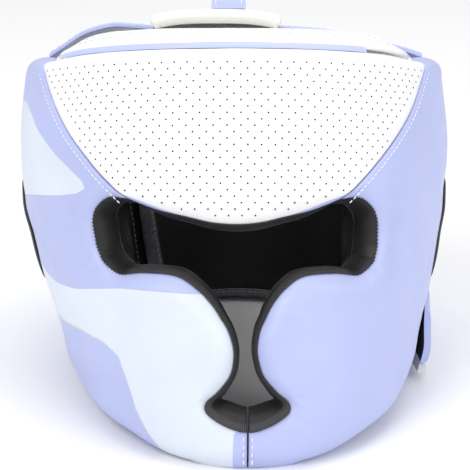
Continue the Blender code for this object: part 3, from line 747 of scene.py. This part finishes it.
def tape_of(name, rows, paints, ribbed_from, toothed):
    """The black tape round the opening: teeth over the leather at the eye end, ribs along nose and mouth."""
    spokes = Spokes(rows, wall_at, even_places(rows, wall_at, RIB_PITCH / 6))
    round_seams(spokes)
    run = spokes.run()
    saw = spokes.saw_angle()[:, None]
    share = np.linspace(0, 1, 16)[None, :]
    end = 113.5 + 0 * saw
    tooth = (np.abs((run / TOOTH_PITCH) % 1 - .5) * 2)[:, None]
    teeth = toothed * (1 - ease((spokes.places - ribbed_from) / .6))[:, None]
    start = saw - np.degrees(TOOTH / spokes.near_round)[:, None] * tooth * teeth
    angles = start + (end - start) * share ** 1.15
    ribbed = ease((spokes.places - ribbed_from) / .6)[:, None]
    band = np.degrees(BAND_WIDTH / spokes.near_round)[:, None]
    across = (angles - saw) / band
    window = ribbed * ease((1.15 - across) / .3) * ease((across + .1) / .15)
    rib_and_highlight = .5 + .5 * np.cos(2 * pi * run / RIB_PITCH)[:, None]
    lift = window * (RIB_HEIGHT * rib_and_highlight + .0003)
    folds = facing_folds(spokes, run, angles) * (1 - window)

    def grid(out):
        radius = spokes.near_round[:, None]
        a = np.radians(angles)
        raised = out + lift - folds
        along = radius - spokes.stand[:, None] - (radius + raised) * np.sin(a)
        return spokes.points(along, (1 - np.cos(a)) / 2, -raised * np.cos(a))

    # The attribute paints the band lighter, most on each rib's crest: a painted highlight on black ribbed
    # tape.
    return shell(name, grid(GAP), grid(GAP + SKIN * .6), paints, {"rib_and_highlight": window * (.35 + .65 * rib_and_highlight)})


def plan_normal(line):
    way = np.gradient(line, axis=0)
    way /= np.linalg.norm(way, axis=1, keepdims=True)
    return np.stack([-way[:, 1], way[:, 0]], -1)


def stitches(name, lines, paint, node, pitch=STITCH_PITCH, length=STITCH_LENGTH, width=STITCH_WIDTH):
    """Rows of stitches. Each line is (points on the leather, their outward directions)."""
    points, faces = [], []
    around = np.linspace(0, 2 * pi, 6, endpoint=False)
    for line, out in lines:
        run = np.concatenate([[0], np.cumsum(np.linalg.norm(np.diff(line, axis=0), axis=1))])
        at = np.arange(pitch / 2, run[-1] - pitch / 4, pitch)
        both = np.stack([np.interp(at, run, column) for column in np.concatenate([line, out], 1).T], -1)
        if len(both) < 2:
            continue
        middle = both[:, :3]
        up = unit(both[:, 3:])
        ahead = unit(np.gradient(middle, axis=0))
        aside = unit(np.cross(up, ahead))
        for m, n, a, s in zip(middle, up, ahead, aside):
            base = len(points)
            for part, size in ((-1, .45), (-.6, .95), (0, 1), (.6, .95), (1, .45)):
                centre = m + a * part * length / 2 + n * width * (.28 - .3 * part * part)
                for turn in around:
                    points.append(centre + (s * cos(turn) + n * sin(turn) * .8) * width / 2 * size)
            for row in range(4):
                for k in range(6):
                    a0, b0 = base + row * 6 + k, base + row * 6 + (k + 1) % 6
                    faces.append((a0, a0 + 6, b0 + 6, b0))
            faces.append(tuple(base + k for k in range(6)))
            faces.append(tuple(base + 24 + k for k in range(5, -1, -1)))
    made = face_out(mesh_of(name, np.array(points), faces, [paint]))
    return belongs(made, node, False)


def on_leather(plan, lift=0.0):
    """Plan points as points on the leather with their outward directions."""
    u = plan[:, 0] / PLAN_RADIUS
    z = plan[:, 1]
    out = outward(u, z)
    return outer(u, z) + out * (relief(u, z) + lift)[:, None], out


def seam_line(rows, place, off, first=.0, last=1.0):
    """A plan line beside one of the spokes, off metres from it."""
    spoke = Spokes(rows, wall_at, np.array([place, place]))
    q = np.tile(np.linspace(first, last, 60), (2, 1))
    u, z = spoke.on_plan(q)
    line = np.stack([u[0] * PLAN_RADIUS, z[0]], -1)
    return line + plan_normal(line) * off


def side_leather(name, node, side, rear_deg, zones, paints):
    rows = side_rows(side, rear_deg)
    steps = len(rows) - 1
    spokes = Spokes(rows, wall_at, stations(steps, 8))
    round_seams(spokes)
    rings = rings_of(spokes, 58, 10)
    made = loft(name, rings, paints["body"])
    ear_hole(made, side)
    untipped = back_upright(made)
    for key, outline in zones.items():
        at = np.stack([untipped[0] * PLAN_RADIUS, untipped[1]], -1)
        if key == "beige":
            value = .55 - 1000 * to_line(at, on_plan(outline))
        else:
            value = 1000 * np.max([inside(at, on_plan(one)) for one in outline], axis=0)
        made.data.attributes.new(key, "FLOAT", "POINT").data.foreach_set("value", value.astype(np.float32))
    belongs(made, node)
    lining = lining_of("inner_" + name, spokes, True, [paints["lining"]])
    ear_hole(lining, side)
    belongs(lining, "lining_" + ("left" if side < 0 else "right"))
    tape = tape_of("edge_tape_" + name, rows, [paints["edging"]], RIBBED_FROM, 1.0)
    belongs(tape, "trim_" + ("left" if side < 0 else "right"))
    return spokes, rows


def back_upright(made):
    """The angle and height on the upright head of each of a piece's vertices."""
    p = np.empty(len(made.data.vertices) * 3, np.float32)
    made.data.vertices.foreach_get("co", p)
    return where_on((p.reshape(-1, 3) - HEAD_PLACE) @ about_x(radians(REST_TILT_DEG)).T)


def oval(side, grown, depth):
    """Points round the ear hole, grown outwards from it, at a depth below the leather."""
    turn = np.linspace(0, 2 * pi, EAR_SIDES, endpoint=False)
    y = EAR_Y + (EAR_HALF_LENGTH + grown) * np.cos(turn)
    z = EAR_Z + (EAR_HALF_HEIGHT + grown) * np.sin(turn)
    reach = np.where(y < CENTRE_Y, FRONT_REACH, REAR_REACH)
    u = side * np.arccos(np.clip((CENTRE_Y - y) / reach, -1, 1))
    around = outer(u, z)
    x = around[:, 0] - side * depth
    return np.stack([x, y, z], -1)


def ear_hole(made, side):
    """Cuts the oval ear hole through a piece."""
    turn = np.linspace(0, 2 * pi, EAR_SIDES, endpoint=False)
    y = EAR_Y + EAR_HALF_LENGTH * np.cos(turn)
    z = EAR_Z + EAR_HALF_HEIGHT * np.sin(turn)
    middle = side * (HALF_WIDTH - WALL)
    reaches = (-2 * side * WALL, 2 * side * WALL)
    ends = [np.stack([np.full(EAR_SIDES, middle + reach), y, z], -1) for reach in reaches]
    faces = grid_faces(2, EAR_SIDES, True)
    faces += [tuple(range(EAR_SIDES)), tuple(range(2 * EAR_SIDES - 1, EAR_SIDES - 1, -1))]
    cutter = face_out(mesh_of("ear_cutter", np.concatenate(ends), faces, []))
    hole = made.modifiers.new("ear hole", "BOOLEAN")
    hole.object = cutter
    hole.solver = "EXACT"
    graph = bpy.context.evaluated_depsgraph_get()
    done = bpy.data.meshes.new_from_object(made.evaluated_get(graph))
    made.modifiers.clear()
    made.data = done
    bpy.data.objects.remove(cutter)


def ear_ring(side, paints):
    """The turned-in ring of the ear hole: a lip on the leather and a sleeve through the pad."""
    deep = WALL * 1.15
    sections = [(-GAP - EAR_TRIM, deep), (-GAP - EAR_TRIM, .002), (-GAP - EAR_TRIM * .8, -.0006),
                (-GAP, -.0016), (EAR_LIP * .4, -GAP - SKIN - .0003), (EAR_LIP * .8, -GAP - SKIN),
                (EAR_LIP, -GAP - SKIN * .6),
                (EAR_LIP, -GAP), (EAR_LIP * .5, -GAP), (-GAP, -GAP), (-GAP, deep)]
    rings = np.stack([oval(side, grown, depth) for grown, depth in sections], 0)
    rows, columns = rings.shape[:2]
    faces = grid_faces(rows, columns, True)
    faces += [((rows - 1) * columns + j, j, (j + 1) % columns, (rows - 1) * columns + (j + 1) % columns)
              for j in range(columns)]
    name = "left" if side < 0 else "right"
    made = face_out(mesh_of("ear_ring_" + name, rings.reshape(-1, 3), faces, paints))
    belongs(made, "ear_trim_" + name)


def rear_tape(name, node, spokes, chosen, paint, thread):
    """The grey tape folded over a rear edge, with a row of stitches on its inner side."""
    keep = np.flatnonzero(chosen)
    first, last = keep[0], keep[-1] + 1
    part = object.__new__(Spokes)
    part.wall = spokes.wall
    part.count = last - first
    part.fractions = spokes.fractions
    for key in SPOKE_ROWS:
        setattr(part, key, getattr(spokes, key)[first:last])
    angles = np.linspace(0, 158, 22)
    near = part.section(part.far_arc(angles, GAP))
    off = part.section(part.far_arc(angles, GAP + SKIN))
    belongs(shell(name, near, off, [paint]), node)
    row = part.section(part.far_arc(np.array([146]), GAP + SKIN))[:, 0]
    out = unit(off[:, 20] - near[:, 20])
    stitches(name + "_stitches", [(row, out)], thread, node, .0034, .0022, .0006)


def pad_grid(name, node, top, down, thickness, edge, paints):
    """A pad under a grid of points, rounded off over the distance edge at its four sides."""
    def runs(grid):
        steps = np.linalg.norm(np.diff(grid, axis=0), axis=-1)
        return np.concatenate([np.zeros((1, grid.shape[1])), np.cumsum(steps, 0)])
    along = runs(top)
    across = runs(top.transpose(1, 0, 2)).T
    room = np.minimum(np.minimum(along, along[-1] - along), np.minimum(across, across[:, -1:] - across))
    full = np.sqrt(1 - (1 - np.minimum(room / edge, 1)) ** 2)
    upper = top + down * (thickness * (1 - full) / 2)[..., None]
    lower = top + down * (thickness * (1 + full) / 2)[..., None]
    rows, columns = top.shape[:2]
    edge_of = np.ones((rows, columns), bool)
    edge_of[1:-1, 1:-1] = False
    edge_of = edge_of.ravel()
    faces = [face for face in grid_faces(rows, columns, False) if not edge_of[list(face)].all()]
    count = rows * columns
    faces += [tuple(count + v for v in reversed(face)) for face in faces]
    points = np.concatenate([upper.reshape(-1, 3), lower.reshape(-1, 3)])
    made = face_out(mesh_of(name, points, faces, paints))
    belongs(made, node)
    return made


def edged(first, last, edge, count):
    near = edge / abs(last - first)
    middle = np.linspace(near, 1 - near, count)
    ends = near * np.array([0, .04, .13, .3, .6])
    return np.concatenate([ends, middle, 1 - ends[::-1]])


def downward(grid):
    """Unit vectors into a grid of points whose columns run round to the left of its rows."""
    return -unit(np.cross(np.gradient(grid, axis=0), np.gradient(grid, axis=1)))


def white_front(paints):
    rows = forehead_rows()
    steps = len(rows) - 1
    spokes = Spokes(rows, wall_at, stations(steps, 14))
    round_seams(spokes)
    made = loft("forehead_leather", rings_of(spokes, 70, 12), paints["white"])
    u, z = back_upright(made)
    at = np.stack([u * PLAN_RADIUS, z], -1)
    left = [(-a, b) for a, b in BROW_EDGE]
    edge = 1000 * np.maximum(inside(at, on_plan(BROW_EDGE)), inside(at, on_plan(left)))
    made.data.attributes.new("brow", "FLOAT", "POINT").data.foreach_set("value", edge.astype(np.float32))
    belongs(made, "forehead_pad")
    belongs(lining_of("inner_forehead", spokes, False, [paints["lining"]]), "lining_forehead")
    belongs(tape_of("edge_tape_brow", rows, [paints["edging"]], 99.0, .0), "trim_brow")
    perforations(rows, paints["hole"])


def perforations(rows, paint):
    """Staggered holes over the white panel, kept back from its edges, drawn as dark discs of painted shade.
    """
    ends = Spokes(rows, wall_at, np.linspace(0, len(rows) - 1, 60))
    q = np.tile(np.linspace(0, 1, 40), (60, 1))
    u, z = ends.on_plan(q)
    plan = np.stack([u * PLAN_RADIUS, z], -1)
    outline = np.concatenate([plan[:, 0], plan[-1], plan[::-1, -1], plan[0, ::-1]])
    top = TOP_LEVEL - HOLE_TOP_MARGIN
    found = []
    for j in range(-2, 32):
        for i in range(-20, 21):
            found.append((HOLE_PITCH * (i + .5 * (j % 2)), j * HOLE_ROW))
    found = np.array(found)
    found = found[(inside(found, outline) > HOLE_MARGIN) & (found[:, 1] < top)]
    points, out = on_leather(found, .00003)
    turn = np.linspace(0, 2 * pi, 10, endpoint=False)
    mesh_points, faces = [], []
    for p, n in zip(points, out):
        side = unit(np.cross(n, (0, 0, 1.0)))
        up = np.cross(side, n)
        base = len(mesh_points)
        mesh_points += [p + (side * cos(t) + up * sin(t)) * HOLE_RADIUS for t in turn]
        faces.append(tuple(range(base, base + 10)))
    made = mesh_of("perforations", np.array(mesh_points), faces, [paint])
    belongs(made, "forehead_pad", False)


def path_grid(path, x, wide):
    path = np.array(path, float)
    return np.stack([
        np.broadcast_to(x - wide[None, :], (len(path), len(wide))),
        np.repeat(path[:, :1], len(wide), 1), np.repeat(path[:, 1:], len(wide), 1)], -1)


def arc_rows(rows, count):
    rows = np.array(rows, float)
    at = np.linspace(0, len(rows) - 1, count)
    index = range(len(rows))
    return np.stack([smooth(tuple(zip(index, column)), at) for column in rows.T], -1)


def crown(paints):
    reach = HALF_WIDTH * .8
    x = reach * (2 * edged(-reach, reach, .006, 70) - 1)
    b = np.concatenate([[0, .008, .02, .04, .07], np.linspace(.1, .92, 30), [.95, .975, .99, 1]])
    off = np.abs(x) / reach
    ridge = CROWN_HEIGHT * smooth(
        ((0, 1), (.52, .993), (.69, .981), (.79, .967), (.855, .945), (.93, .905), (1, .875)), off)
    front_z = TOP_LEVEL * (1.04 - .02 * off ** 2)
    behind = RIM_STRIP_START + RIM_STRIP + 2 * GAP
    front_y = CENTRE_Y - (FRONT_REACH * .925 - behind) * np.sqrt(1 - (x / (HALF_WIDTH * .965 - behind)) ** 2)
    rear_y = CENTRE_Y - .022 * off ** 2
    rise = 1 - (1 - b) ** 2.2
    y = front_y[:, None] * (1 - b) + rear_y[:, None] * b
    z = front_z[:, None] + np.maximum(ridge - front_z, .0005)[:, None] * rise
    top = np.stack([np.broadcast_to(x[:, None], y.shape), y, z], -1)
    out = -downward(top)
    channel = np.exp(-((b[None, :] - .30) / .03) ** 2) * .0009
    top = top - out * channel[..., None]
    swell = ease(b / .5)[None, :] * (1 - .5 * ease((off - .75) / .25))[:, None]
    thickness = CROWN_EDGE + (CROWN_WALL - CROWN_EDGE) * swell
    pad_grid("crown_front", "crown_front_pad", top, downward(top), thickness, .004, paints["white_plain"])
    keep = np.abs(x) < reach * .9
    raised = top + out * .0001
    at = [np.stack([np.array([np.interp(s, b, column) for column in raised[i].T])
                    for i in np.flatnonzero(keep)]) for s in (.22, .38)]
    ways = np.array([out[i, len(b) // 3] for i in np.flatnonzero(keep)])
    lines = [(line, ways) for line in at]
    stitches("crown_stitches", lines, paints["thread"], "crown_front_pad", .0042, .003, WIDE_STITCH)


def crown_back(paints):
    path = arc_rows(((-.040, .1242), (-.015, .1266), (.010, .127), (.037, .1235),
                     (.062, .1135), (.083, .100), (.098, .0855)), 60)
    wide = REAR_FLAP_HALF_WIDTH * (2 * edged(-REAR_FLAP_HALF_WIDTH, REAR_FLAP_HALF_WIDTH, .004, 30) - 1)
    top = path_grid(path, REAR_FLAP_X, wide)
    top[..., 2] -= .004 * (np.abs(wide) / REAR_FLAP_HALF_WIDTH)[None, :] ** 3
    pad_grid("crown_rear", "crown_rear_flap", top, downward(top), REAR_FLAP_WALL, .004, paints["cream"])


def strap_shell(name, node, near, up, thick, paints, thread, rows=(.12, .88)):
    """A flat strap with softened edges and a row of stitches near each side."""
    columns = near.shape[1]
    across = np.linspace(-1, 1, columns)
    soft = 1 - .5 * np.abs(across) ** 6
    off = near + up * (thick * soft)[None, :, None]
    belongs(shell(name, near, off, paints), node)
    lines = []
    for share in rows:
        k = int(round(share * (columns - 1)))
        lines.append((off[:, k], up[:, k]))
    stitches(name + "_stitches", lines, thread, node, STRAP_STITCH_PITCH, STRAP_STITCH_LENGTH, WIDE_STITCH)


def straps(paints):
    path = arc_rows(((-.036, .1248), (-.026, .1266), (-.013, .1318), (.000, .1345), (.012, .1345),
                     (.026, .1318), (.042, .1246), (.055, .1178), (.066, .1122)), 90)
    near = path_grid(path, CROWN_STRAP_X, CROWN_STRAP_WIDTH / 2 * np.linspace(-1, 1, STRAP_COLUMNS))
    strap_shell("crown_loop", "crown_strap", near, -downward(near), STRAP, paints["strap"], paints["thread"])
    left = ((.106, .1020), (.097, .108), (.085, .1155), (.070, .1195), (.058, .1190), (.0464, .1178))
    right = ((.108, .1020), (.099, .105), (.086, .1085), (.071, .1120), (.052, .1160), (.0262, .1178))
    y = STRAP_Y + SIDE_STRAP_WIDTH * np.linspace(-.5, .5, STRAP_COLUMNS)
    for name, side, rows in (("left", -1, left), ("right", 1, right)):
        path = arc_rows(rows, STRAP_ROWS)
        near = np.stack([
            np.repeat(side * path[:, :1], STRAP_COLUMNS, 1), np.broadcast_to(y, (STRAP_ROWS, STRAP_COLUMNS)),
            np.repeat(path[:, 1:], STRAP_COLUMNS, 1)], -1)
        up = np.zeros_like(near)
        up[..., 2] = 1
        strap_shell(
            "crown_side_strap_" + name, "side_strap_" + name, near, up, STRAP, paints["strap"],
            paints["thread"])


def top_strip(paints):
    u = np.radians(np.linspace(-54, 38, 160))
    deep = RIM_STRIP_START + RIM_STRIP * np.linspace(0, 1, 9)
    z = top_of(u)
    half_wall = wall_at(u, z)[:, None] / 2
    rounding = 2 * FOREHEAD_SPOKES[0][-1] * half_wall
    fall = rounding * (1 - np.sqrt(1 - np.minimum(np.abs(1 - deep / half_wall), 1) ** 2))
    base = outer(u, z)[:, None] - outward(u, z)[:, None] * deep[None, :, None]
    base[..., 2] += GAP - fall
    soft = 1 - .6 * np.abs(np.linspace(-1, 1, 9)) ** 6
    up = base + np.array([0, 0, RIM_STRIP_HEIGHT]) * soft[None, :, None]
    belongs(shell("top_strip", base, up, paints["strap"]), "rim_binding")


def closure(paints):
    """The wide flap round the back, lilac outside and black inside, with its white lower border."""
    foot = ((92, -.60), (110, -.50), (130, -.36), (150, -.26), (180, -.19), (210, -.165), (235, -.165))
    head = ((92, -.33), (110, -.12), (130, .09), (150, .27), (180, .41), (210, .47), (235, .47))
    degrees = np.concatenate([
        [92, 92.4, 93, 94, 95.5], np.linspace(97, 231, 130), [232.5, 233.7, 234.5, 235]])
    u = np.radians(degrees)
    narrow = .5 * (1 - np.sqrt(1 - (1 - np.minimum((degrees - 91) / 6, 1)) ** 2)) * .5
    low = level(smooth(foot, degrees))
    high = level(smooth(head, degrees))
    high = high - (high - low) * narrow
    away = .004 * ease((112 - degrees) / 20)

    def band(bottom, top, rows):
        f = np.linspace(0, 1, rows)
        z = bottom[:, None] * (1 - f) + top[:, None] * f
        uu = np.repeat(u[:, None], rows, 1)
        lift = SKIN + 3 * GAP + away[:, None] * (1 - ease((z - level(-.55)) / .03))
        soft = 1 - .45 * np.abs(np.linspace(-1, 1, rows)) ** 10
        near = outer(uu, z) + outward(uu, z) * lift[..., None]
        return near, near + outward(uu, z) * (FLAP * soft)[None, :, None], outward(uu, z)

    near, off, out = band(low, high, 24)
    belongs(shell("closure_flap", near, off, [paints["strap"][0], paints["lining"]]), "closure_strap")
    rows = [(off[6:-6, k], out[6:-6, k]) for k in (2, 21)]
    ends = [(off[k, 2:-2], out[k, 2:-2]) for k in (7, -8)]
    stitches("closure_stitches", rows + ends, paints["thread"], "closure_strap", STRAP_STITCH_PITCH,
             STRAP_STITCH_LENGTH, WIDE_STITCH)
    near, off, out = band(low - TAPE_WIDTH * .8, low - .0005, 9)
    belongs(shell("closure_border", near, off, [paints["border"]]), "closure_binding")


def back_cushion(paints):
    rows = np.array(BACK_SPOKES, float)
    span = BACK_PAD_END_DEG - BACK_PAD_START_DEG
    rows[:, [0, 4]] = BACK_PAD_START_DEG + span * rows[:, [0, 4]]
    spokes = Spokes(rows, back_wall_at, stations(len(rows) - 1, 12, False), BACK_LIFT)
    made = loft("back_cushion", rings_of(spokes, 50, 8), [paints["lining"]])
    belongs(made, "back_pad")
    inner = np.ones(spokes.count, bool)
    inner[:12] = inner[-6:] = False
    rear_tape("back_tape", "back_binding", spokes, inner, paints["tape"], paints["grey_thread"])


def make_paints():
    lilac = leather("lilac_leather", LILAC)
    return {
        "left": [leather("two_tone_leather", LILAC, (("ice", ICE), ("beige", BEIGE)))],
        "right": [lilac],
        "white": [leather("white_leather", WHITE, (("brow", LILAC),), .45, .5, .15)],
        "white_plain": [leather("crown_leather", WHITE, (), .45, .5, .35)],
        "cream": [leather("cream_leather", CREAM, (), .5, .5, .3)],
        "strap": [leather("strap_leather", scaled(LILAC, 1.08), (), .45, .4, .15)],
        "lining": leather("black_lining", BLACK, (), .5, .4, .5),
        "edging": edging("edge_tape"),
        "tape": woven("grey_tape", TAPE),
        "border": woven("white_border", WHITE),
        "thread": plain("pale_thread", THREAD, .6),
        "grey_thread": plain("grey_thread", (.55, .55, .6), .6),
        # The perforations' discs are painted shade standing for the inside of each hole.
        "hole": plain("perforation", HOLE_SHADE, .9),
    }


def sides(paints):
    ice = {"ice": (ICE_HIGH, ICE_LOW), "beige": BEIGE_LINE}
    lines = {}
    for side, name, rear, zones in ((-1, "left", LEFT_WING_DEG, ice), (1, "right", RIGHT_WING_DEG, {})):
        kit = {"body": paints[name], "lining": paints["lining"], "edging": paints["edging"]}
        spokes, rows = side_leather(name + "_cheek", "side_pad_" + name, side, rear, zones, kit)
        ear_ring(side, [paints["edging"]])
        upright = (spokes.height > .08) & (spokes.height < .93)
        rear_tape("wing_tape_" + name, "wing_binding_" + name, spokes, upright, paints["tape"],
                  paints["grey_thread"])
        seam = on_leather(seam_line(rows, 0, -side * SEAM_STITCH_OFF, .0, .93))
        chin = on_leather(seam_line(rows, len(rows) - 1, side * CHIN_STITCH_OFF, .08, .95))
        stitches("seam_stitches_" + name, [seam], paints["thread"], "side_pad_" + name)
        stitches("chin_stitches_" + name, [chin], paints["thread"], "side_pad_" + name, .0040, .0024)


def camera():
    data = bpy.data.cameras.new("camera")
    data.lens = LENS_MM
    data.sensor_width = SENSOR_MM
    data.shift_x = SHIFT
    made = bpy.data.objects.new("camera", data)
    bpy.context.scene.collection.objects.link(made)
    made.location = tipped(np.array([[0, -CAMERA_DISTANCE, 0]]))[0]
    made.rotation_euler = (pi / 2 - radians(REST_TILT_DEG), 0, 0)
    bpy.context.scene.camera = made


def area_light(name, place, aim, size, power):
    data = bpy.data.lights.new(name, "AREA")
    data.shape = "DISK"
    data.size = size
    data.energy = power
    made = bpy.data.objects.new(name, data)
    bpy.context.scene.collection.objects.link(made)
    made.location = place
    way = np.array(aim, float) - place
    made.rotation_euler = (np.arctan2(np.hypot(way[0], way[1]), -way[2]), 0, np.arctan2(way[0], -way[1]) + pi)


def studio():
    bpy.ops.mesh.primitive_plane_add(size=12)
    floor = bpy.context.object
    floor.name = "floor"
    paint = bpy.data.materials.new("floor")
    paint.use_nodes = True
    paint.node_tree.nodes["Principled BSDF"].inputs["Base Color"].default_value = (.93, .93, .94, 1)
    paint.node_tree.nodes["Principled BSDF"].inputs["Roughness"].default_value = .9
    floor.data.materials.append(paint)
    world = bpy.data.worlds.new("studio")
    bpy.context.scene.world = world
    world.use_nodes = True
    world.node_tree.nodes["Background"].inputs["Color"].default_value = (1, 1, 1, 1)
    world.node_tree.nodes["Background"].inputs["Strength"].default_value = .62
    area_light("key", (-.9, -1.2, 1.5), (0, 0, .1), 1.2, 16)
    area_light("fill", (1.3, -1.0, .9), (0, 0, .1), 1.4, 9)
    area_light("top", (.1, .3, 1.9), (0, 0, .1), 1.4, 12)
    bpy.context.scene.view_settings.view_transform = "Standard"


camera()
paints = make_paints()
white_front(paints)
sides(paints)
back_cushion(paints)
crown(paints)
crown_back(paints)
straps(paints)
top_strip(paints)
closure(paints)
studio()
